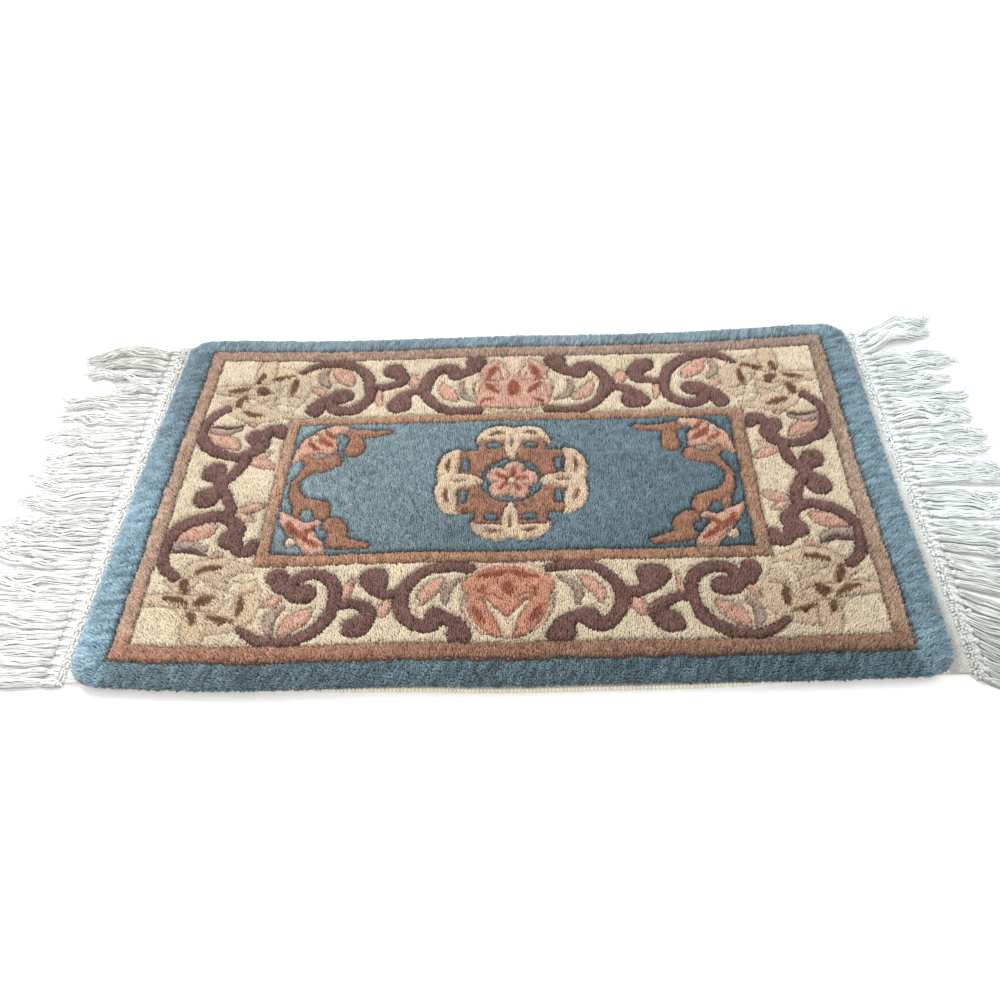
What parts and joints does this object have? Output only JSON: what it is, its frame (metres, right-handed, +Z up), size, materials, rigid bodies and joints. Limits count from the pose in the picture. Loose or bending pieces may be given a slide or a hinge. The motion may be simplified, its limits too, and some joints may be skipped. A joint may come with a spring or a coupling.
{
  "type": "chinese rug",
  "caption": "Small rectangular carved wool pile rug in the Chinese style, lying flat, with a knotted cotton fringe at both short ends.",
  "frame": {"origin": "on the flat back, under the middle of the pile, at floor level", "axes": "+X along the long side, +Y across the rug towards its back edge, +Z up out of the pile"},
  "size_m": [1.2066, 0.6071, 0.014],
  "materials": {
    "cotton_ground": "plain woven cream cotton with a ribbed selvedge",
    "wool_pile": "cut and carved wool pile, mostly dusty blue, with tan, cream, plum and salmon areas",
    "cotton_fringe": "loosely twisted off-white cotton cords, knotted in two rows"
  },
  "bodies": {
    "root": {"ground": "cotton_ground", "pile": "wool_pile", "fringe_left": "cotton_fringe", "fringe_right": "cotton_fringe"}
  },
  "joints": []
}
